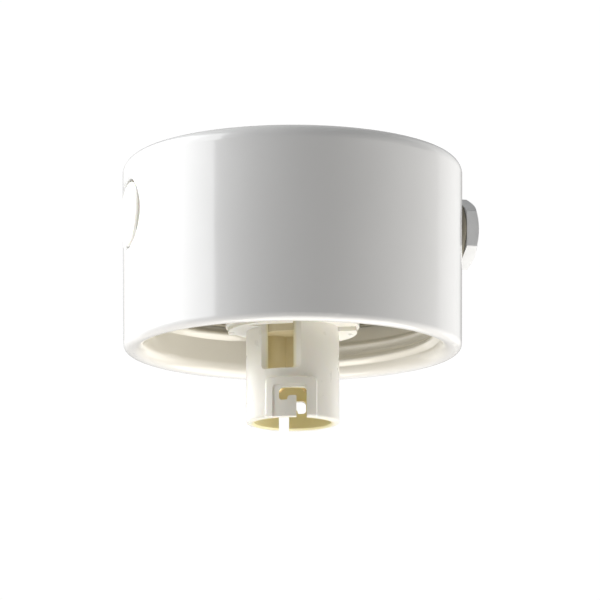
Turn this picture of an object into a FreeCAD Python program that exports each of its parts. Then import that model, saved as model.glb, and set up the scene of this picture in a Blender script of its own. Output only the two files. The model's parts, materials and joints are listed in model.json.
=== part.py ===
import FreeCAD, Part
import math
import os

os.makedirs("parts", exist_ok=True)

# A round porcelain lamp base that hangs from a ceiling, with a bayonet lampholder in its open mouth.
# The origin is the centre of the ceiling face, +Z points up into the ceiling, and the two cable
# entries lie on the X axis. Heights are measured up from the plane of the mouth, in millimetres.

# --- porcelain body
BODY_HEIGHT = 57.5
BODY_R_TOP = 50.7
BODY_R_RIM = 50.0
TOP_EDGE_R = 4.0
RIM_LOW = 0.3
RIM_OUTER_R = 2.1
RIM_INNER_R = 4.0
CHAMBER_R = 39.5
CHAMBER_TOP = 51.5
CHAMBER_EDGE = 1.5
SHOULDER_HEIGHT = 17.0

# --- mouth for the screwed-in glass
MOUTH_R = 43.6

# --- ceiling screws and bridge bosses
CEILING_SLOT_SPACING = 60.0
CEILING_SLOT_WIDTH = 4.6
CEILING_SLOT_LENGTH = 10.0
BOSS_Y = 29.0
BOSS_R = 6.0
BOSS_FOOT = 34.0
INSERT_R = 2.9
INSERT_LENGTH = 10.0

# --- cable entries and their plugs
ENTRY_HEIGHT = 39.0
ENTRY_R = 10.25
ENTRY_EDGE_R = 0.6
HEX_ACROSS_FLATS = 19.0
HEX_INNER_X = 51.6
HEX_OUTER_X = 55.4
HEX_CORNER_R = 0.6
PLUG_THREAD_R = 10.1
PLUG_NECK_R = 8.2
PLUG_END_X = 40.4
PLUG_WALL = 1.8
FLUSH_DISC_R = 9.5
FLUSH_FACE_X = 50.2
FLUSH_DISC_THICK = 2.4
FLUSH_SHANK_R = 9.9
FLUSH_CLAW_R = 10.9
O_RING_SECTION_R = 0.85

# --- lampholder housing: bayonet tube and flange, turned about Z from the entries
HOLDER_TURN = -27.5
TUBE_R = 13.75
TUBE_LIP = -21.3
TUBE_BORE_R = 11.35
TUBE_UPPER_BORE_R = 11.75
TUBE_BORE_STEP = -12.4
LIP_EDGE_R = 0.9
LEAD_IN = 0.5
FLANGE_R = 19.8
FLANGE_FOOT = 7.2
FLANGE_TOP = 10.2
STEP_R = 19.1
STEP_FOOT = 6.0
STEP_SPAN = 102.0
COLLAR_R = 14.7
COLLAR_BORE_R = 13.0
COLLAR_TOP = 14.0

# --- bayonet slot and the raised pad round it, drawn across the tube's face
SLOT_FACE_TURN = -79.5
SLOT_TOP = -12.5
SLOT_FLOOR = -15.1
NOTCH_FLOOR = -16.4
CHANNEL_LEFT = 1.3
CHANNEL_RIGHT = 4.3
NOTCH_LEFT = -3.8
NOTCH_RIGHT = -1.3
PAD_R = 14.5
PAD_BEVEL = 0.4
PAD_LEFT = -7.8
PAD_RIGHT = 7.4
PAD_TOP = -9.4
POCKET_R = 13.98
POCKET_LEFT = -5.7
POCKET_RIGHT = 4.5
POCKET_TOP = -11.9

# --- side window of the tube
WINDOW_FOOT = -6.9
WINDOW_TOP = 8.6
WINDOW_CORNER_R = 1.2
WINDOW_LEFT_IN_TURN = -116.0
WINDOW_LEFT_OUT_TURN = -120.2
WINDOW_RIGHT_IN_TURN = -77.3
WINDOW_RIGHT_OUT_TURN = -67.9

# --- contact block, plungers and terminals
PLUNGER_OFFSET = 5.2
BARREL_R = 3.8
BARREL_FOOT = -7.2
BARREL_WEB = 2.6
GUIDE_R = 2.65
GUIDE_LENGTH = 1.8
SPRING_BORE_R = 3.0
BLOCK_PLUG_R = 11.5
BLOCK_PLUG_FOOT = 4.6
BLOCK_FLANGE_R = 12.8
BLOCK_FLANGE_TOP = 12.2
BLOCK_LENGTH = 20.0
BLOCK_WIDTH = 13.0
BLOCK_TOP = 22.0
POCKET_FLOOR = 14.0
PLUNGER_R = 2.6
PLUNGER_TIP = -11.8
PLUNGER_HEAD_R = 2.9
PLUNGER_HEAD_HEIGHT = 1.4
PLUNGER_SPRING_SEAT = -8.8
SPRING_R = 1.45
SPRING_WIRE_R = 0.25
SPRING_TURNS = 7
SPRING_SIDES = 10
TERMINAL_SIZE = (6.4, 9.4, 7.8)
TERMINAL_WALL_GAP = 0.1
WIRE_HOLE_R = 1.7
WIRE_HOLE_HEIGHT = 17.0
TERMINAL_SCREW_Y = 2.6

# --- terminal cover
COVER_TOP = 27.0
COVER_WALL = 1.5
COVER_SPIGOT_R = 12.8
COVER_SPIGOT_WALL = 0.8
COVER_NOTCH_WIDTH = 13.0
COVER_NOTCH_TOP = 21.0

# --- steel bridge that carries the lampholder
BRIDGE_THICK = 1.5
BRIDGE_HOLE_R = 15.1
BRIDGE_RING_R = 20.0
BRIDGE_ARM_WIDTH = 12.0
BRIDGE_FOOT_END = 35.0
BRIDGE_BEND_R = 1.8
HOLDER_SCREW_X = 17.5
EARTH_HEIGHT = 22.0

# --- seal ring above the thread
SEAL_R_IN = 39.7
SEAL_R_OUT = 43.2
SEAL_THICK = 2.0

UP = FreeCAD.Vector(0, 0, 1)
ORIGIN = FreeCAD.Vector(0, 0, 0)


def z_at(height):
    """The Z of a height above the mouth's plane."""
    return height - BODY_HEIGHT


def turned(shape, degrees):
    """A copy turned about the body's axis."""
    copy = shape.copy()
    copy.rotate(ORIGIN, UP, degrees)
    return copy


def moved(shape, x=0.0, y=0.0, z=0.0):
    copy = shape.copy()
    copy.translate(FreeCAD.Vector(x, y, z))
    return copy


def both_sides(shape):
    """A shape and its copy half a turn round the axis."""
    return [shape, turned(shape, 180.0)]


def lathe(profile, span=360.0):
    """A solid turned about the body's axis, from (radius, height) or (radius, height, edge radius) corners."""
    corners = [(corner + (0,))[:3] for corner in profile]
    wire = rounded_wire(corners, lambda p: FreeCAD.Vector(p.x, 0, z_at(p.y)))
    return Part.Face(wire).revolve(ORIGIN, UP, span)


def post(radius, foot, top, x=0.0, y=0.0):
    """An upright cylinder between two heights."""
    return Part.makeCylinder(radius, top - foot, FreeCAD.Vector(x, y, z_at(foot)), UP)


def block(size_x, size_y, foot, top, x=0.0, y=0.0):
    """An upright box centred on (x, y), between two heights."""
    corner = FreeCAD.Vector(x - size_x / 2, y - size_y / 2, z_at(foot))
    return Part.makeBox(size_x, size_y, top - foot, corner)


def turned_on_x(profile):
    """A solid turned about the entries' axis, from (x, radius) corners."""
    points = [FreeCAD.Vector(x, 0, r) for x, r in profile]
    face = Part.Face(Part.makePolygon(points + points[:1]))
    solid = face.revolve(ORIGIN, FreeCAD.Vector(1, 0, 0), 360.0)
    return moved(solid, z=z_at(ENTRY_HEIGHT))


def rounded_wire(corners, place):
    """A closed outline with rounded corners; place turns (u, v) into a point, corners are (u, v, radius)."""
    edges = []
    starts = []
    ends = []
    count = len(corners)
    for i in range(count):
        u, v, radius = corners[i]
        before = FreeCAD.Vector(corners[i - 1][0] - u, corners[i - 1][1] - v, 0)
        after = FreeCAD.Vector(corners[(i + 1) % count][0] - u, corners[(i + 1) % count][1] - v, 0)
        before.normalize()
        after.normalize()
        corner = FreeCAD.Vector(u, v, 0)
        half = before.getAngle(after) / 2
        reach = radius / math.tan(half)
        start = corner + before * reach
        end = corner + after * reach
        starts.append(start)
        ends.append(end)
        if radius > 0:
            bisector = before + after
            bisector.normalize()
            middle = corner + bisector * (radius / math.sin(half) - radius)
            edges.append(Part.Arc(place(start), place(middle), place(end)).toShape())
        else:
            edges.append(None)
    outline = []
    for i in range(count):
        if edges[i] is not None:
            outline.append(edges[i])
        following = starts[(i + 1) % count]
        if ends[i].distanceToPoint(following) > 0.001:
            outline.append(Part.LineSegment(place(ends[i]), place(following)).toShape())
    return Part.Wire(outline)


def face_prism(corners, turn, reach=20.0):
    """A prism that stands out from the axis in the direction turn, from corners across its face."""
    wire = rounded_wire(corners, lambda p: FreeCAD.Vector(p.x, 0, z_at(p.y)))
    prism = Part.Face(wire).extrude(FreeCAD.Vector(0, -reach, 0))
    return turned(prism, turn + 90.0)


def plan_prism(corners, foot, top):
    """An upright prism from corners in plan."""
    wire = rounded_wire(corners, lambda p: FreeCAD.Vector(p.x, p.y, z_at(foot)))
    return Part.Face(wire).extrude(FreeCAD.Vector(0, 0, top - foot))


def entry_bore():
    return Part.makeCylinder(ENTRY_R, 30.0, FreeCAD.Vector(30.0, 0, z_at(ENTRY_HEIGHT)), FreeCAD.Vector(1, 0, 0))


def make_porcelain_body():
    """Turned pot with a rolled rim and a shouldered mouth, two bosses, ceiling slots and side entries."""
    body = lathe([(0, BODY_HEIGHT), (BODY_R_TOP, BODY_HEIGHT, TOP_EDGE_R), (BODY_R_RIM, RIM_LOW, RIM_OUTER_R),
                  (MOUTH_R, RIM_LOW, RIM_INNER_R), (MOUTH_R, SHOULDER_HEIGHT), (CHAMBER_R, SHOULDER_HEIGHT),
                  (CHAMBER_R, CHAMBER_TOP - CHAMBER_EDGE), (CHAMBER_R - CHAMBER_EDGE, CHAMBER_TOP), (0, CHAMBER_TOP)])
    for y in (-BOSS_Y, BOSS_Y):
        body = body.fuse(post(BOSS_R, BOSS_FOOT, CHAMBER_TOP + 1.0, y=y))
        body = body.cut(post(INSERT_R, BOSS_FOOT, BOSS_FOOT + INSERT_LENGTH + 2.0, y=y))
    for side in both_sides(ceiling_slot()):
        body = body.cut(side)
    for side in both_sides(entry_bore()):
        body = body.cut(side)
    return round_entry_mouths(body)


def ceiling_slot():
    """A slot for a ceiling screw, long along X."""
    reach = CEILING_SLOT_LENGTH / 2
    half = CEILING_SLOT_WIDTH / 2
    corner_r = half - 0.001
    middle = CEILING_SLOT_SPACING / 2
    corners = [(middle - reach, -half, corner_r), (middle + reach, -half, corner_r),
               (middle + reach, half, corner_r), (middle - reach, half, corner_r)]
    return plan_prism(corners, CHAMBER_TOP - 1.0, BODY_HEIGHT + 1.0)


def round_entry_mouths(body):
    """Soften the edge where each entry bore comes out of the wall."""
    edges = []
    for edge in body.Edges:
        box = edge.BoundBox
        spans_bore = abs(box.ZLength - 2 * ENTRY_R) < 0.5 and abs(box.YLength - 2 * ENTRY_R) < 0.5
        outside_wall = min(abs(box.XMin), abs(box.XMax)) > BODY_R_RIM - 2.0
        if spans_bore and outside_wall:
            edges.append(edge)
    return body.makeChamfer(ENTRY_EDGE_R, edges)


def make_glass_seal():
    foot = SHOULDER_HEIGHT - SEAL_THICK
    return lathe([(SEAL_R_IN, foot), (SEAL_R_OUT, foot), (SEAL_R_OUT, SHOULDER_HEIGHT), (SEAL_R_IN, SHOULDER_HEIGHT)])


def make_boss_inserts():
    """Brass sleeves, threaded inside, set in the porcelain bosses."""
    sleeves = []
    for y in (-BOSS_Y, BOSS_Y):
        sleeve = post(INSERT_R - 0.05, BOSS_FOOT, BOSS_FOOT + INSERT_LENGTH, y=y)
        sleeves.append(sleeve.cut(post(2.05, BOSS_FOOT, BOSS_FOOT + INSERT_LENGTH, y=y)))
    return Part.makeCompound(sleeves)


def make_hex_plug():
    """Hexagon head, plain neck for the seal and a hollow threaded shank."""
    corner = HEX_ACROSS_FLATS / math.sqrt(3)
    points = []
    for i in range(6):
        angle = math.radians(60 * i)
        points.append((corner * math.sin(angle), corner * math.cos(angle), HEX_CORNER_R))
    wire = rounded_wire(points, lambda p: FreeCAD.Vector(HEX_INNER_X, p.x, p.y))
    head = Part.Face(wire).extrude(FreeCAD.Vector(HEX_OUTER_X - HEX_INNER_X, 0, 0))
    head = moved(head, z=z_at(ENTRY_HEIGHT))
    bevel_r = HEX_ACROSS_FLATS / 2
    bevel = turned_on_x([(HEX_INNER_X - 1, 0), (HEX_INNER_X - 1, bevel_r + 4), (HEX_OUTER_X - 0.9, bevel_r + 1.6),
                         (HEX_OUTER_X, bevel_r - 0.1), (HEX_OUTER_X, 0)])
    head = head.common(bevel)
    hollow_r = PLUG_NECK_R - PLUG_WALL
    shank = turned_on_x([(PLUG_END_X, hollow_r), (PLUG_END_X, PLUG_THREAD_R - 0.6), (PLUG_END_X + 0.8, PLUG_THREAD_R),
                         (49.2, PLUG_THREAD_R), (49.8, PLUG_NECK_R), (HEX_INNER_X + 0.5, PLUG_NECK_R),
                         (HEX_INNER_X + 0.5, hollow_r)])
    return head.fuse(shank).removeSplitter()


def o_ring(middle_r, x):
    """A ring of round section, drawn with eight flats."""
    corners = []
    for i in range(8):
        angle = math.radians(22.5 + 45 * i)
        corners.append((x + O_RING_SECTION_R * math.cos(angle), middle_r + O_RING_SECTION_R * math.sin(angle)))
    return turned_on_x(corners)


def make_hex_plug_seal():
    return o_ring(PLUG_NECK_R + O_RING_SECTION_R + 0.03, HEX_INNER_X - O_RING_SECTION_R - 0.03)


def make_flush_plug():
    """Disc plug with a skirt, a groove for its seal and two claws behind the wall."""
    wall_r = FLUSH_SHANK_R - 1.8
    back_x = FLUSH_FACE_X - FLUSH_DISC_THICK
    groove_r = ENTRY_R - 2 * O_RING_SECTION_R - 0.1
    plug = turned_on_x([(37.0, wall_r), (37.0, FLUSH_SHANK_R), (44.0, FLUSH_SHANK_R), (44.0, groove_r),
                        (46.0, groove_r), (46.0, FLUSH_SHANK_R), (back_x, FLUSH_SHANK_R),
                        (back_x + 0.3, FLUSH_DISC_R), (FLUSH_FACE_X - 0.5, FLUSH_DISC_R),
                        (FLUSH_FACE_X, FLUSH_DISC_R - 0.5), (FLUSH_FACE_X, 0), (back_x, 0), (back_x, wall_r)])
    claw = turned_on_x([(37.0, wall_r), (37.0, FLUSH_SHANK_R), (38.9, FLUSH_CLAW_R), (39.2, FLUSH_CLAW_R), (39.2, wall_r)])
    zone = Part.makeBox(20.0, 5.0, 40.0, FreeCAD.Vector(30.0, -2.5, z_at(ENTRY_HEIGHT) - 20.0))
    plug = plug.fuse(claw.common(zone))
    for y in (-4.5, 3.3):
        plug = plug.cut(Part.makeBox(6.0, 1.2, 40.0, FreeCAD.Vector(36.0, y, z_at(ENTRY_HEIGHT) - 20.0)))
    return turned(plug, 180.0)


def make_flush_plug_seal():
    return turned(o_ring(ENTRY_R - O_RING_SECTION_R - 0.05, 45.0), 180.0)


def bayonet_slot():
    corners = [(CHANNEL_LEFT, TUBE_LIP - 2, 0), (CHANNEL_LEFT, SLOT_FLOOR, 0.4), (NOTCH_RIGHT, SLOT_FLOOR, 0.9),
               (NOTCH_RIGHT, NOTCH_FLOOR, 0.4), (NOTCH_LEFT, NOTCH_FLOOR, 0.9), (NOTCH_LEFT, SLOT_TOP, 1.5),
               (CHANNEL_RIGHT, SLOT_TOP, 0.9), (CHANNEL_RIGHT, TUBE_LIP - 2, 0)]
    return face_prism(corners, SLOT_FACE_TURN)


def raised_pad():
    corners = [(PAD_LEFT, TUBE_LIP, 0), (PAD_RIGHT, TUBE_LIP, 0), (PAD_RIGHT, PAD_TOP, 1.6), (PAD_LEFT, PAD_TOP, 1.6)]
    skin = lathe([(TUBE_R - 1.0, TUBE_LIP), (PAD_R, TUBE_LIP, LIP_EDGE_R), (PAD_R, PAD_TOP), (TUBE_R - 1.0, PAD_TOP)])
    pad = face_prism(corners, SLOT_FACE_TURN).common(skin)
    border = []
    for edge in pad.Edges:
        middle = edge.valueAt((edge.FirstParameter + edge.LastParameter) / 2)
        on_face = abs(math.hypot(middle.x, middle.y) - PAD_R) < 0.01
        if on_face and edge.BoundBox.ZMax > z_at(TUBE_LIP + LIP_EDGE_R) + 0.5:
            border.append(edge)
    return pad.makeChamfer(PAD_BEVEL, border)


def pad_pocket():
    corners = [(POCKET_LEFT, TUBE_LIP - 1, 0), (POCKET_RIGHT, TUBE_LIP - 1, 0), (POCKET_RIGHT, POCKET_TOP, 0.8),
               (POCKET_LEFT, POCKET_TOP, 0.8)]
    skin = lathe([(POCKET_R, TUBE_LIP - 1), (PAD_R + 2, TUBE_LIP - 1), (PAD_R + 2, PAD_TOP), (POCKET_R, PAD_TOP)])
    return face_prism(corners, SLOT_FACE_TURN).common(skin)


def cheek_line(in_turn, out_turn):
    """Two points in plan on a cheek of the window, one in the tube's bore and one clear of its outside."""
    near = turned(Part.Vertex(TUBE_UPPER_BORE_R, 0, 0), in_turn).Point
    far = turned(Part.Vertex(TUBE_R, 0, 0), out_turn).Point
    return near + (near - far) * 0.7, far + (far - near) * 2


def side_window():
    """Opening between two cheeks that flare outwards, rounded where they meet the sill."""
    left_in, left_out = cheek_line(WINDOW_LEFT_IN_TURN, WINDOW_LEFT_OUT_TURN)
    right_in, right_out = cheek_line(WINDOW_RIGHT_IN_TURN, WINDOW_RIGHT_OUT_TURN)
    corners = [(p.x, p.y, 0) for p in (left_in, left_out, right_out, right_in)]
    opening = plan_prism(corners, WINDOW_FOOT, WINDOW_TOP)
    sill_edges = []
    for edge in opening.Edges:
        level = abs(edge.BoundBox.ZMax - z_at(WINDOW_FOOT)) < 0.01
        middle = edge.CenterOfMass
        crosswise = abs(middle.cross(edge.tangentAt(edge.FirstParameter)).z) < 0.6 * middle.Length
        if level and crosswise:
            sill_edges.append(edge)
    return opening.makeFillet(WINDOW_CORNER_R, sill_edges)


def make_holder_housing():
    """One moulding: bayonet tube, stepped flange and the collar that takes the contact block."""
    housing = lathe([(TUBE_BORE_R + LEAD_IN, TUBE_LIP), (TUBE_R, TUBE_LIP, LIP_EDGE_R), (TUBE_R, FLANGE_FOOT),
                     (FLANGE_R - 0.4, FLANGE_FOOT),
                     (FLANGE_R, FLANGE_FOOT + 0.4),
                     (FLANGE_R, FLANGE_TOP), (COLLAR_R, FLANGE_TOP), (COLLAR_R, COLLAR_TOP),
                     (COLLAR_BORE_R, COLLAR_TOP), (COLLAR_BORE_R, FLANGE_TOP), (TUBE_UPPER_BORE_R, FLANGE_TOP),
                     (TUBE_UPPER_BORE_R, TUBE_BORE_STEP), (TUBE_BORE_R, TUBE_BORE_STEP),
                     (TUBE_BORE_R, TUBE_LIP + LEAD_IN)])
    step = lathe([(TUBE_R - 0.4, STEP_FOOT), (STEP_R, STEP_FOOT), (STEP_R, FLANGE_FOOT + 0.2),
                  (TUBE_R - 0.4, FLANGE_FOOT + 0.2)], STEP_SPAN)
    for side in both_sides(step) + both_sides(raised_pad()):
        housing = housing.fuse(side)
    for cutter in (pad_pocket(), bayonet_slot(), side_window()):
        for side in both_sides(cutter):
            housing = housing.cut(side)
    housing = turned(housing.removeSplitter(), HOLDER_TURN)
    for x in (-HOLDER_SCREW_X, HOLDER_SCREW_X):
        housing = housing.cut(post(1.5, STEP_FOOT + 1.0, FLANGE_TOP, x=x))
    return housing


def barrel_bore():
    bore = post(SPRING_BORE_R, BARREL_FOOT + GUIDE_LENGTH, POCKET_FLOOR, x=PLUNGER_OFFSET)
    return bore.fuse(post(GUIDE_R, BARREL_FOOT, BARREL_FOOT + GUIDE_LENGTH, x=PLUNGER_OFFSET))


def make_contact_block():
    """Insulating insert: plug, flange, two plunger barrels joined by a web, and two terminal pockets."""
    solid = post(BLOCK_PLUG_R, BLOCK_PLUG_FOOT, FLANGE_TOP)
    solid = solid.fuse(post(BLOCK_FLANGE_R, FLANGE_TOP, BLOCK_FLANGE_TOP))
    solid = solid.fuse(block(BLOCK_LENGTH, BLOCK_WIDTH, BLOCK_FLANGE_TOP, BLOCK_TOP))
    pocket_x = TERMINAL_SIZE[0] + 2 * TERMINAL_WALL_GAP
    pocket_y = TERMINAL_SIZE[1] + 2 * TERMINAL_WALL_GAP
    for x in (-PLUNGER_OFFSET, PLUNGER_OFFSET):
        solid = solid.fuse(post(BARREL_R, BARREL_FOOT, BLOCK_PLUG_FOOT, x=x))
    solid = solid.fuse(block(2 * PLUNGER_OFFSET, BARREL_WEB, BARREL_FOOT, BLOCK_PLUG_FOOT))
    for x in (-PLUNGER_OFFSET, PLUNGER_OFFSET):
        solid = solid.cut(block(pocket_x, pocket_y, POCKET_FLOOR, BLOCK_TOP, x=x))
        solid = solid.cut(block(4.4, BLOCK_WIDTH + 2, POCKET_FLOOR + 0.8, BLOCK_TOP, x=x))
    for side in both_sides(barrel_bore()):
        solid = solid.cut(side)
    solid = solid.cut(post(1.25, POCKET_FLOOR - 1.0, BLOCK_TOP))
    return turned(solid.removeSplitter(), HOLDER_TURN)


def make_plunger(side):
    """Brass plunger with a domed tip, a retaining head and a spring pocket."""
    head_foot = BARREL_FOOT + GUIDE_LENGTH + 0.05
    head_top = head_foot + PLUNGER_HEAD_HEIGHT
    pocket_r = SPRING_R + SPRING_WIRE_R + 0.15
    plunger = lathe([(0, PLUNGER_TIP), (1.5, PLUNGER_TIP), (PLUNGER_R, PLUNGER_TIP + 1.0), (PLUNGER_R, head_foot),
                     (PLUNGER_HEAD_R, head_foot), (PLUNGER_HEAD_R, head_top), (pocket_r, head_top),
                     (pocket_r, PLUNGER_SPRING_SEAT), (0, PLUNGER_SPRING_SEAT)])
    return turned(moved(plunger, x=side * PLUNGER_OFFSET), HOLDER_TURN)


def make_plunger_spring(side):
    """Coil spring between the plunger's pocket and the terminal above it, with ground flat end turns."""
    foot = PLUNGER_SPRING_SEAT
    length = POCKET_FLOOR - foot
    steps = SPRING_TURNS * SPRING_SIDES
    points = []
    for i in range(steps + 1):
        angle = 2 * math.pi * i / SPRING_SIDES
        rise = SPRING_WIRE_R + (length - 2 * SPRING_WIRE_R) * i / steps
        points.append(FreeCAD.Vector(SPRING_R * math.cos(angle), SPRING_R * math.sin(angle), rise))
    half = SPRING_WIRE_R
    section = [FreeCAD.Vector(SPRING_R - half, 0, SPRING_WIRE_R), FreeCAD.Vector(SPRING_R, 0, 2 * SPRING_WIRE_R),
               FreeCAD.Vector(SPRING_R + half, 0, SPRING_WIRE_R), FreeCAD.Vector(SPRING_R, 0, 0)]
    wire = Part.makePolygon(section + section[:1])
    spring = Part.makePolygon(points).makePipeShell([wire], True, False, 1)
    return turned(moved(spring, x=side * PLUNGER_OFFSET, z=z_at(foot)), HOLDER_TURN)


def terminal_screw_places(side):
    return [(side * PLUNGER_OFFSET, y) for y in (-TERMINAL_SCREW_Y, TERMINAL_SCREW_Y)]


def make_terminal(side):
    """Brass pillar terminal, bored across for the wire and down for its two screws."""
    size_x, size_y, size_z = TERMINAL_SIZE
    top = POCKET_FLOOR + size_z
    solid = block(size_x, size_y, POCKET_FLOOR, top, x=side * PLUNGER_OFFSET)
    wire_start = FreeCAD.Vector(side * PLUNGER_OFFSET, -size_y / 2, z_at(WIRE_HOLE_HEIGHT))
    solid = solid.cut(Part.makeCylinder(WIRE_HOLE_R, size_y, wire_start, FreeCAD.Vector(0, 1, 0)))
    for x, y in terminal_screw_places(side):
        solid = solid.cut(post(1.5, WIRE_HOLE_HEIGHT, top, x=x, y=y))
    return turned(solid, HOLDER_TURN)


def make_terminal_screws(side):
    top = POCKET_FLOOR + TERMINAL_SIZE[2]
    screws = []
    for x, y in terminal_screw_places(side):
        screw = post(1.45, WIRE_HOLE_HEIGHT + 0.6, top + 0.3, x=x, y=y)
        screw = screw.fuse(post(2.2, top + 0.3, top + 2.0, x=x, y=y)).removeSplitter()
        screws.append(screw.cut(block(5.0, 0.7, top + 1.2, top + 2.0, x=x, y=y)))
    return turned(Part.makeCompound(screws), HOLDER_TURN)


def make_terminal_cover():
    """Cap over the terminals, with wire notches and holes for the screwdriver."""
    inner_r = COLLAR_R - COVER_WALL
    ceiling = COVER_TOP - COVER_WALL
    spigot_in = COVER_SPIGOT_R - COVER_SPIGOT_WALL
    cover = lathe([(0, COVER_TOP), (COLLAR_R - 1.2, COVER_TOP), (COLLAR_R, COVER_TOP - 1.2), (COLLAR_R, COLLAR_TOP),
                   (COVER_SPIGOT_R, COLLAR_TOP),
                   (COVER_SPIGOT_R, BLOCK_FLANGE_TOP), (spigot_in, BLOCK_FLANGE_TOP), (spigot_in, COLLAR_TOP + 1.0),
                   (inner_r, COLLAR_TOP + 2.0), (inner_r, ceiling), (0, ceiling)])
    cover = cover.cut(block(COVER_NOTCH_WIDTH, 40.0, BLOCK_FLANGE_TOP, COVER_NOTCH_TOP))
    cover = cover.cut(post(1.4, ceiling, COVER_TOP))
    for side in (-1, 1):
        for x, y in terminal_screw_places(side):
            cover = cover.cut(post(2.3, ceiling, COVER_TOP, x=x, y=y))
    return turned(cover, HOLDER_TURN)


def pan_screw(head_r, head_height, shank_r, shank_length):
    """A cross-recessed pan head screw, head underside at the origin, shank pointing up."""
    profile = [(0, -head_height), (head_r * 0.6, -head_height), (head_r, -head_height * 0.6), (head_r, 0),
               (shank_r, 0), (shank_r, shank_length - 0.4), (shank_r - 0.4, shank_length), (0, shank_length)]
    points = [FreeCAD.Vector(r, 0, z) for r, z in profile]
    screw = Part.Face(Part.makePolygon(points + points[:1])).revolve(ORIGIN, UP, 360.0)
    wing = head_r * 0.5
    for size_x, size_y in ((2 * wing, wing * 0.4), (wing * 0.4, 2 * wing)):
        corner = FreeCAD.Vector(-size_x / 2, -size_y / 2, -head_height)
        screw = screw.cut(Part.makeBox(size_x, size_y, head_height * 0.5, corner))
    return screw


def upside_down(shape):
    copy = shape.copy()
    copy.rotate(ORIGIN, FreeCAD.Vector(1, 0, 0), 180.0)
    return copy


def make_cover_screw():
    return turned(moved(upside_down(pan_screw(2.3, 1.6, 1.2, 12.5)), z=z_at(COVER_TOP)), HOLDER_TURN)


def make_holder_bridge():
    """Hat-shaped steel strip: a ring under the flange's screws, two arms and two feet."""
    arm_out = BRIDGE_RING_R
    arm_in = arm_out - BRIDGE_THICK
    foot_low = BOSS_FOOT - BRIDGE_THICK
    ring_top = FLANGE_TOP + BRIDGE_THICK
    bend = BRIDGE_BEND_R
    corners = [(0, FLANGE_TOP, 0), (arm_out, FLANGE_TOP, bend), (arm_out, foot_low, bend - BRIDGE_THICK + 0.1),
               (BRIDGE_FOOT_END, foot_low, 0), (BRIDGE_FOOT_END, BOSS_FOOT, 0), (arm_in, BOSS_FOOT, bend),
               (arm_in, ring_top, bend - BRIDGE_THICK + 0.1), (0, ring_top, 0)]
    wire = rounded_wire(corners, lambda p: FreeCAD.Vector(-BRIDGE_ARM_WIDTH / 2, p.x, z_at(p.y)))
    arm = Part.Face(wire).extrude(FreeCAD.Vector(BRIDGE_ARM_WIDTH, 0, 0))
    bridge = post(BRIDGE_RING_R, FLANGE_TOP, ring_top)
    bridge = bridge.common(block(60.0, 2 * arm_in - 0.4, FLANGE_TOP, ring_top))
    for side in both_sides(arm):
        bridge = bridge.fuse(side)
    bridge = bridge.cut(post(BRIDGE_HOLE_R, FLANGE_TOP, ring_top))
    for y in (-BOSS_Y, BOSS_Y):
        bridge = bridge.cut(post(2.25, foot_low, BOSS_FOOT, y=y))
    for x in (-HOLDER_SCREW_X, HOLDER_SCREW_X):
        bridge = bridge.cut(post(1.6, FLANGE_TOP, ring_top, x=x))
    earth_hole = Part.makeCylinder(2.05, 4.0, FreeCAD.Vector(0, arm_in - 1.0, z_at(EARTH_HEIGHT)), FreeCAD.Vector(0, 1, 0))
    return bridge.cut(earth_hole).removeSplitter()


def make_bridge_washers():
    foot_low = BOSS_FOOT - BRIDGE_THICK
    washers = []
    for y in (-BOSS_Y, BOSS_Y):
        washer = post(4.4, foot_low - 0.8, foot_low, y=y)
        washers.append(washer.cut(post(2.2, foot_low - 0.8, foot_low, y=y)))
    return Part.makeCompound(washers)


def make_bridge_screws():
    seat = BOSS_FOOT - BRIDGE_THICK - 0.8
    return Part.makeCompound([moved(pan_screw(3.8, 2.6, 2.0, 11.0), y=y, z=z_at(seat)) for y in (-BOSS_Y, BOSS_Y)])


def make_holder_screws():
    seat = FLANGE_TOP + BRIDGE_THICK
    screw = upside_down(pan_screw(2.4, 1.8, 1.45, 4.2))
    return Part.makeCompound([moved(screw, x=x, z=z_at(seat)) for x in (-HOLDER_SCREW_X, HOLDER_SCREW_X)])


def make_earth_clamp():
    """Square saddle washer under the earth screw's head."""
    clamp = Part.makeBox(8.0, 1.0, 8.0, FreeCAD.Vector(-4.0, BRIDGE_RING_R, z_at(EARTH_HEIGHT) - 4.0))
    start = FreeCAD.Vector(0, BRIDGE_RING_R, z_at(EARTH_HEIGHT))
    return clamp.cut(Part.makeCylinder(2.2, 1.0, start, FreeCAD.Vector(0, 1, 0)))


def make_earth_screw():
    screw = pan_screw(3.6, 2.4, 2.0, 4.0)
    screw.rotate(ORIGIN, FreeCAD.Vector(1, 0, 0), 90.0)
    return moved(screw, y=BRIDGE_RING_R + 1.0, z=z_at(EARTH_HEIGHT))


NODES = {
    "porcelain_body": make_porcelain_body,
    "glass_seal": make_glass_seal,
    "boss_inserts": make_boss_inserts,
    "hex_plug": make_hex_plug,
    "hex_plug_seal": make_hex_plug_seal,
    "flush_plug": make_flush_plug,
    "flush_plug_seal": make_flush_plug_seal,
    "holder_housing": make_holder_housing,
    "contact_block": make_contact_block,
    "plunger_a": lambda: make_plunger(-1),
    "plunger_b": lambda: make_plunger(1),
    "plunger_spring_a": lambda: make_plunger_spring(-1),
    "plunger_spring_b": lambda: make_plunger_spring(1),
    "terminal_a": lambda: make_terminal(-1),
    "terminal_b": lambda: make_terminal(1),
    "terminal_screws_a": lambda: make_terminal_screws(-1),
    "terminal_screws_b": lambda: make_terminal_screws(1),
    "terminal_cover": make_terminal_cover,
    "cover_screw": make_cover_screw,
    "holder_bridge": make_holder_bridge,
    "bridge_washers": make_bridge_washers,
    "bridge_screws": make_bridge_screws,
    "holder_screws": make_holder_screws,
    "earth_clamp": make_earth_clamp,
    "earth_screw": make_earth_screw,
}

for node, make in NODES.items():
    shape = make()
    if not shape.isValid():
        raise ValueError(node + " is not a valid solid")
    shape.exportStep("parts/" + node + ".step")
    print(node, len(shape.Solids), round(shape.Volume, 1))
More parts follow.
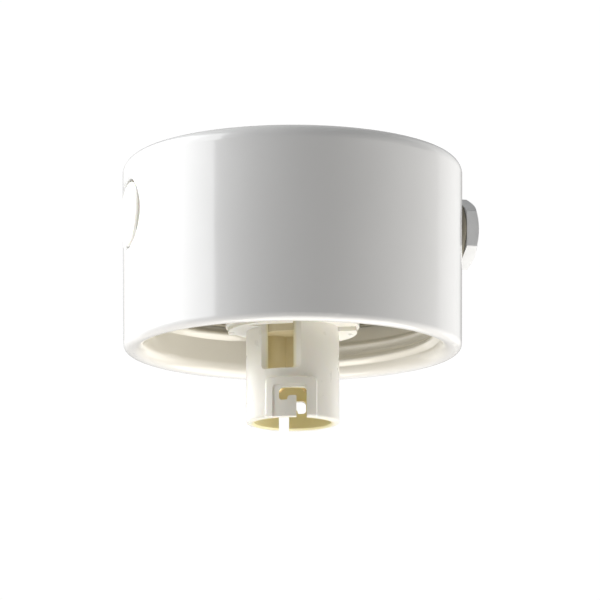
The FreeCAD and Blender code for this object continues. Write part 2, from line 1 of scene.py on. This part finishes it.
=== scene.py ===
import json
import math

import bpy
from mathutils import Matrix, Vector


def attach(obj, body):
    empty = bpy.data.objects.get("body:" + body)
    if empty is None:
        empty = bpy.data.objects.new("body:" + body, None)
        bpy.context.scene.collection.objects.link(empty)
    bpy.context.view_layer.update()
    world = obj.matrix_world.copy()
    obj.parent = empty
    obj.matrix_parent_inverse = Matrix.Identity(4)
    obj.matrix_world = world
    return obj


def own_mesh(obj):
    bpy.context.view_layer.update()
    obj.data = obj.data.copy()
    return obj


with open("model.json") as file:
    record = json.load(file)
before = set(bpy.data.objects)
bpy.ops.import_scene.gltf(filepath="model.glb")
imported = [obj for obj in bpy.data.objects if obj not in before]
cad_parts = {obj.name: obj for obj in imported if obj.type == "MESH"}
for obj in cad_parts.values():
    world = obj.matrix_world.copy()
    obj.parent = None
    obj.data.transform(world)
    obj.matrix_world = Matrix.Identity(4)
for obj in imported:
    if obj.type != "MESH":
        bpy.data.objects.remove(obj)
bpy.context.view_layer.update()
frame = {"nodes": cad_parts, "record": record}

NODES = frame["nodes"]

# The picture's own axes: x to its right, y away from the camera, z up.
# They are turned about Z from the part's.
PICTURE_TURN = math.radians(-16.0)
RIM_Z = -0.0575


def placed(x, y, z):
    """A point given in the picture's axes, with z up from the rim, in the part's frame."""
    return Matrix.Rotation(PICTURE_TURN, 4, "Z") @ Vector((x, y, z)) + Vector((0, 0, RIM_Z))


def facing(direction, roll=0.0):
    """A rotation that looks along a direction, with +Z up."""
    rotation = direction.to_track_quat("-Z", "Y")
    return rotation @ Matrix.Rotation(roll, 3, "Z").to_quaternion()


def make_camera():
    """Below the rim, looking a little up; the angles are in radians."""
    pitch, yaw, roll = 0.2010, 0.0021, 0.0015
    data = bpy.data.cameras.new("camera")
    data.lens = 216.9
    data.sensor_width = 36.0
    camera = bpy.data.objects.new("camera", data)
    aim = Vector((math.sin(yaw) * math.cos(pitch), math.cos(yaw) * math.cos(pitch), math.sin(pitch)))
    aim = Matrix.Rotation(PICTURE_TURN, 3, "Z") @ aim
    camera.rotation_mode = "QUATERNION"
    camera.rotation_quaternion = facing(aim, -roll)
    camera.location = placed(0.0, -1.050, -0.198)
    bpy.context.scene.collection.objects.link(camera)
    bpy.context.scene.camera = camera


def make_softbox(name, centre, target, width, height, radiance, tint):
    """A soft rectangular light; its energy follows from its radiance and its size."""
    data = bpy.data.lights.new(name, "AREA")
    data.shape = "RECTANGLE"
    data.size = width
    data.size_y = height
    data.color = tint
    data.energy = radiance * math.pi * width * height
    light = bpy.data.objects.new(name, data)
    light.location = placed(*centre)
    aim = placed(*target) - light.location
    light.rotation_mode = "QUATERNION"
    light.rotation_quaternion = facing(aim)
    bpy.context.scene.collection.objects.link(light)


BACKDROP_STRENGTH = 1.02
ROOM_TINT = (1.0, 0.995, 0.985, 1)
# direction in the picture's axes, strength away from it, strength toward it, where the rise starts and ends
ROOM_GLOW = [
    ((1.0, 0.05, 0.0), 0.0, 1.08, 0.2, 1.0),
    ((-1.0, 0.2, 0.0), 0.0, 1.0, 0.25, 1.0),
    ((0.0, 1.0, 0.0), 0.0, 0.4, 0.0, 0.9),
    ((0.0, 0.0, -1.0), 0.0, 0.25, 0.0, 0.9),
]


def make_world():
    """White behind the part; for light, a dim room that brightens smoothly to both sides and behind."""
    world = bpy.data.worlds.new("studio")
    bpy.context.scene.world = world
    world.use_nodes = True
    nodes, links = world.node_tree.nodes, world.node_tree.links
    nodes.clear()
    out = nodes.new("ShaderNodeOutputWorld")
    mix = nodes.new("ShaderNodeMixShader")
    path = nodes.new("ShaderNodeLightPath")
    white = nodes.new("ShaderNodeBackground")
    white.inputs["Color"].default_value = (1, 1, 1, 1)
    white.inputs["Strength"].default_value = BACKDROP_STRENGTH
    room = nodes.new("ShaderNodeBackground")
    room.inputs["Color"].default_value = ROOM_TINT
    where = nodes.new("ShaderNodeTexCoord")
    total = None
    for direction, low, high, start, end in ROOM_GLOW:
        dot = nodes.new("ShaderNodeVectorMath")
        dot.operation = "DOT_PRODUCT"
        turned = Matrix.Rotation(PICTURE_TURN, 3, "Z") @ Vector(direction).normalized()
        dot.inputs[1].default_value = turned
        links.new(where.outputs["Generated"], dot.inputs[0])
        ramp = nodes.new("ShaderNodeMapRange")
        ramp.interpolation_type = "SMOOTHSTEP"
        ramp.inputs["From Min"].default_value = start
        ramp.inputs["From Max"].default_value = end
        ramp.inputs["To Min"].default_value = low
        ramp.inputs["To Max"].default_value = high
        links.new(dot.outputs["Value"], ramp.inputs["Value"])
        if total is None:
            total = ramp.outputs["Result"]
        else:
            add = nodes.new("ShaderNodeMath")
            links.new(total, add.inputs[0])
            links.new(ramp.outputs["Result"], add.inputs[1])
            total = add.outputs["Value"]
    links.new(total, room.inputs["Strength"])
    links.new(path.outputs["Is Camera Ray"], mix.inputs["Fac"])
    links.new(room.outputs["Background"], mix.inputs[1])
    links.new(white.outputs["Background"], mix.inputs[2])
    links.new(mix.outputs["Shader"], out.inputs["Surface"])


# where the painted warm shade of the mouth and chamber, a creamier colour standing in for light bounced
# inside, gives way to white: radii, then heights in the top plate
WARM_SHADE_TO_WHITE_R = (0.0440, 0.0470)
WARM_SHADE_TO_WHITE_Z = (-0.0050, -0.0030)
# where the painted yellow shade inside the tube gives way to cream
YELLOW_SHADE_TO_CREAM_R = (0.0116, 0.0126)


class Shader:
    """Builds one procedural Principled material."""

    def __init__(self, name, **sockets):
        self.material = bpy.data.materials.new(name)
        self.material.use_nodes = True
        tree = self.material.node_tree
        self.nodes, self.links = tree.nodes, tree.links
        self.bsdf = self.nodes["Principled BSDF"]
        for key, value in sockets.items():
            self.bsdf.inputs[key.replace("_", " ")].default_value = value
        coords = self.nodes.new("ShaderNodeTexCoord")
        self.place = coords.outputs["Object"]

    def noise(self, scale, detail=3.0, roughness=0.5, stretch=(1, 1, 1)):
        mapping = self.nodes.new("ShaderNodeMapping")
        mapping.inputs["Scale"].default_value = stretch
        self.links.new(self.place, mapping.inputs["Vector"])
        noise = self.nodes.new("ShaderNodeTexNoise")
        noise.inputs["Scale"].default_value = scale
        noise.inputs["Detail"].default_value = detail
        noise.inputs["Roughness"].default_value = roughness
        self.links.new(mapping.outputs["Vector"], noise.inputs["Vector"])
        return noise.outputs["Fac"]

    def ranged(self, value, low, high, start=0.3, end=0.7):
        ramp = self.nodes.new("ShaderNodeMapRange")
        ramp.inputs["From Min"].default_value = start
        ramp.inputs["From Max"].default_value = end
        ramp.inputs["To Min"].default_value = low
        ramp.inputs["To Max"].default_value = high
        self.links.new(value, ramp.inputs["Value"])
        return ramp.outputs["Result"]

    def beyond(self, near, far):
        """0 nearer to the part's axis than one radius in metres, 1 beyond the other."""
        flat = self.nodes.new("ShaderNodeVectorMath")
        flat.operation = "MULTIPLY"
        flat.inputs[1].default_value = (1, 1, 0)
        self.links.new(self.place, flat.inputs[0])
        length = self.nodes.new("ShaderNodeVectorMath")
        length.operation = "LENGTH"
        self.links.new(flat.outputs["Vector"], length.inputs[0])
        return self.ranged(length.outputs["Value"], 0.0, 1.0, near, far)

    def above(self, low, high):
        """0 below one height in metres, 1 above the other."""
        split = self.nodes.new("ShaderNodeSeparateXYZ")
        self.links.new(self.place, split.inputs[0])
        return self.ranged(split.outputs["Z"], 0.0, 1.0, low, high)

    def either(self, a, b):
        """The larger of two factors."""
        larger = self.nodes.new("ShaderNodeMath")
        larger.operation = "MAXIMUM"
        self.links.new(a, larger.inputs[0])
        self.links.new(b, larger.inputs[1])
        return larger.outputs["Value"]

    def mixed(self, factor, colour_a, colour_b):
        mix = self.nodes.new("ShaderNodeMix")
        mix.data_type = "RGBA"
        self.links.new(factor, mix.inputs["Factor"])
        for socket, colour in ((mix.inputs[6], colour_a), (mix.inputs[7], colour_b)):
            if isinstance(colour, tuple):
                socket.default_value = (*colour, 1.0)
            else:
                self.links.new(colour, socket)
        return mix.outputs[2]

    def colour(self, value):
        self.links.new(value, self.bsdf.inputs["Base Color"])

    def roughness(self, value):
        self.links.new(value, self.bsdf.inputs["Roughness"])

    def bump(self, *layers):
        """Bump layers, each (height, distance in metres, strength)."""
        normal = None
        for height, distance, strength in layers:
            bump = self.nodes.new("ShaderNodeBump")
            bump.inputs["Distance"].default_value = distance
            bump.inputs["Strength"].default_value = strength
            self.links.new(height, bump.inputs["Height"])
            if normal is not None:
                self.links.new(normal, bump.inputs["Normal"])
            normal = bump.outputs["Normal"]
        self.links.new(normal, self.bsdf.inputs["Normal"])


def glazed_porcelain():
    """White outside; the mouth's thread and the chamber are painted creamier, as painted warm shade from
    light bounced inside.
    """
    s = Shader("glazed_porcelain", IOR=1.52, Coat_Weight=0.35, Coat_Roughness=0.04)
    white = s.mixed(s.ranged(s.noise(22.0, 4.0), 0.0, 1.0), (0.85, 0.85, 0.845), (0.87, 0.87, 0.865))
    clear_of_warm_shade = s.either(s.beyond(*WARM_SHADE_TO_WHITE_R), s.above(*WARM_SHADE_TO_WHITE_Z))
    # the creamier colour inside the mouth and chamber is painted warm shade from light bounced inside
    s.colour(s.mixed(clear_of_warm_shade, (0.90, 0.87, 0.785), white))
    s.roughness(s.ranged(s.noise(60.0, 3.0), 0.10, 0.16))
    s.bump((s.noise(38.0, 2.0, 0.4), 0.0009, 0.35), (s.noise(260.0, 2.0), 0.00006, 0.3))
    return s.material


def cream_plastic():
    """Cream, with painted yellow shade inside the tube."""
    s = Shader("cream_plastic", IOR=1.5, Subsurface_Weight=0.15, Subsurface_Scale=0.002)
    s.bsdf.inputs["Subsurface Radius"].default_value = (1.0, 0.7, 0.3)
    cream = s.mixed(s.ranged(s.noise(90.0, 4.0), 0.0, 1.0), (0.86, 0.845, 0.78), (0.89, 0.875, 0.815))
    # the yellower colour inside the tube is painted shade from light bounced inside
    s.colour(s.mixed(s.beyond(*YELLOW_SHADE_TO_CREAM_R), (0.86, 0.80, 0.48), cream))
    s.roughness(s.ranged(s.noise(240.0, 3.0), 0.26, 0.38))
    s.bump((s.noise(1800.0, 3.0, 0.6), 0.00002, 0.25), (s.noise(120.0, 2.0), 0.00006, 0.2))
    return s.material


def insert_plastic():
    s = Shader("insert_plastic", IOR=1.5)
    s.colour(s.mixed(s.ranged(s.noise(140.0, 5.0), 0.0, 1.0), (0.70, 0.62, 0.42), (0.78, 0.70, 0.50)))
    s.roughness(s.ranged(s.noise(300.0, 3.0), 0.38, 0.55))
    s.bump((s.noise(1500.0, 4.0, 0.6), 0.00004, 0.5))
    return s.material


def plug_plastic():
    s = Shader("plug_plastic", IOR=1.5)
    s.colour(s.mixed(s.ranged(s.noise(120.0, 4.0), 0.0, 1.0), (0.72, 0.735, 0.75), (0.78, 0.79, 0.80)))
    s.roughness(s.ranged(s.noise(300.0, 3.0), 0.28, 0.42))
    s.bump((s.noise(1600.0, 3.0, 0.6), 0.00003, 0.4))
    return s.material


def metal(name, colour_a, colour_b, rough, grain):
    s = Shader(name, Metallic=1.0)
    s.colour(s.mixed(s.ranged(s.noise(160.0, 5.0), 0.0, 1.0), colour_a, colour_b))
    s.roughness(s.ranged(s.noise(grain, 4.0, 0.6, (1, 1, 6)), rough, rough + 0.14))
    s.bump((s.noise(grain * 2, 3.0, 0.6, (1, 1, 8)), 0.00002, 0.5))
    return s.material


def rubber():
    s = Shader("grey_rubber", IOR=1.5)
    s.colour(s.mixed(s.ranged(s.noise(200.0, 4.0), 0.0, 1.0), (0.27, 0.25, 0.19), (0.34, 0.315, 0.25)))
    s.roughness(s.ranged(s.noise(400.0, 3.0), 0.55, 0.75))
    s.bump((s.noise(2200.0, 4.0, 0.7), 0.00004, 0.6))
    return s.material


def dress_nodes():
    finish = {
        "glazed_porcelain": glazed_porcelain(),
        "cream_plastic": cream_plastic(),
        "insert_plastic": insert_plastic(),
        "plug_plastic": plug_plastic(),
        "brass": metal("brass", (0.78, 0.56, 0.24), (0.84, 0.64, 0.32), 0.22, 500.0),
        "zinc_steel": metal("zinc_steel", (0.58, 0.59, 0.60), (0.68, 0.68, 0.67), 0.28, 420.0),
        "spring_steel": metal("spring_steel", (0.45, 0.45, 0.46), (0.55, 0.55, 0.56), 0.24, 600.0),
        "grey_rubber": rubber(),
    }
    slot_of = {part["node"]: part["material_slot"] for part in frame["record"]["subparts"]}
    for name, node in NODES.items():
        node.data.materials.clear()
        node.data.materials.append(finish[slot_of[name]])
    return finish


# the mouth's moulded thread: one low ridge, then a full one above it, each climbing clockwise seen from above
MOUTH_R = 0.0436
RIM_ROLL_R = 0.0040
RIM_ROLL_TOP = 0.0043
RIDGE_HEIGHT = 0.0017
RIDGE_WIDTH = 0.0041
RIDGE_PITCH = 0.0041
RIDGE_SUNK = 0.00012
RIDGE_FADE = 14.0
RIDGE_FACETS = 14
RIDGE_STEP = 2.0
RIDGE_RUNS = [  # first angle in degrees, height of its crest above the rim, sweep in degrees
    (66.0, 0.0050, 240.0),
    (66.0, 0.0091, 335.0),
]


def wall_radius(height):
    """The mouth wall's radius at a height above the rim: straight, then rolled outwards at the rim."""
    below = min(max(RIM_ROLL_TOP - height, 0.0), RIM_ROLL_R)
    return MOUTH_R + RIM_ROLL_R - math.sqrt(RIM_ROLL_R ** 2 - below ** 2)


def ridge_mesh(first, height, sweep):
    """A rounded ridge along a helix, faded into the wall at both ends; its edges are sunk in the wall."""
    across = RIDGE_FACETS
    count = int(sweep / RIDGE_STEP)
    points, faces = [], []
    for i in range(count + 1):
        gone = sweep * i / count
        fade = min(1.0, gone / RIDGE_FADE, (sweep - gone) / RIDGE_FADE)
        fade = math.sin(fade * math.pi / 2)
        angle = math.radians(first - gone)
        centre = height + RIDGE_PITCH * gone / 360.0
        for j in range(across + 1):
            u = j / across - 0.5
            lift = RIDGE_HEIGHT * fade * math.cos(math.pi * u) ** 2
            up = centre + u * RIDGE_WIDTH
            r = wall_radius(up) + RIDGE_SUNK - lift - RIDGE_SUNK * math.cos(math.pi * u)
            points.append((r * math.cos(angle), r * math.sin(angle), RIM_Z + up))
    for i in range(count):
        for j in range(across):
            a = i * (across + 1) + j
            faces.append((a, a + 1, a + across + 2, a + across + 1))
    return points, faces


def make_thread(finish):
    for name, run in zip(("thread_lead", "thread_turn"), RIDGE_RUNS):
        points, faces = ridge_mesh(*run)
        mesh = bpy.data.meshes.new(name)
        mesh.from_pydata(points, [], faces)
        mesh.shade_smooth()
        mesh.materials.append(finish)
        ridge = bpy.data.objects.new(name, mesh)
        bpy.context.scene.collection.objects.link(ridge)
        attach(ridge, "base")


def settle_springs():
    """Gives each contact spring its own copy of its mesh."""
    for side in "ab":
        spring = NODES["plunger_spring_" + side]
        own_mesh(spring)


FLOOR_REACH = 3.0
FLOOR_Z = -1.6


def make_floor():
    mesh = bpy.data.meshes.new("floor")
    corners = [(-1, -1), (1, -1), (1, 1), (-1, 1)]
    mesh.from_pydata([(x * FLOOR_REACH, y * FLOOR_REACH, FLOOR_Z) for x, y in corners], [], [(0, 1, 2, 3)])
    floor = bpy.data.objects.new("floor", mesh)
    s = Shader("pale_floor")
    s.colour(s.mixed(s.ranged(s.noise(3.0, 3.0), 0.0, 1.0), (0.83, 0.83, 0.83), (0.86, 0.86, 0.86)))
    s.roughness(s.ranged(s.noise(20.0, 3.0), 0.6, 0.8))
    mesh.materials.append(s.material)
    bpy.context.scene.collection.objects.link(floor)


# name, centre and target in the picture's axes from the rim, width, height, radiance, tint
SOFTBOXES = [
    ("left_softbox", (-0.60, 0.13, 0.45), (0.0, 0.13, 0.45), 1.2, 1.0, 2.8, (0.985, 0.99, 1.0)),
    ("right_softbox", (0.62, 0.95, 0.30), (0.0, 0.95, 0.30), 1.4, 1.5, 0.38, (1.0, 1.0, 1.0)),
    ("table_bounce", (0.17, 0.08, -0.72), (0.0, 0.0, 0.0), 0.9, 0.9, 2.75, (1.0, 0.96, 0.90)),
]

bpy.context.scene.view_settings.view_transform = "Standard"
make_camera()
make_world()
for softbox in SOFTBOXES:
    make_softbox(*softbox)
make_floor()
finishes = dress_nodes()
make_thread(finishes["glazed_porcelain"])
settle_springs()
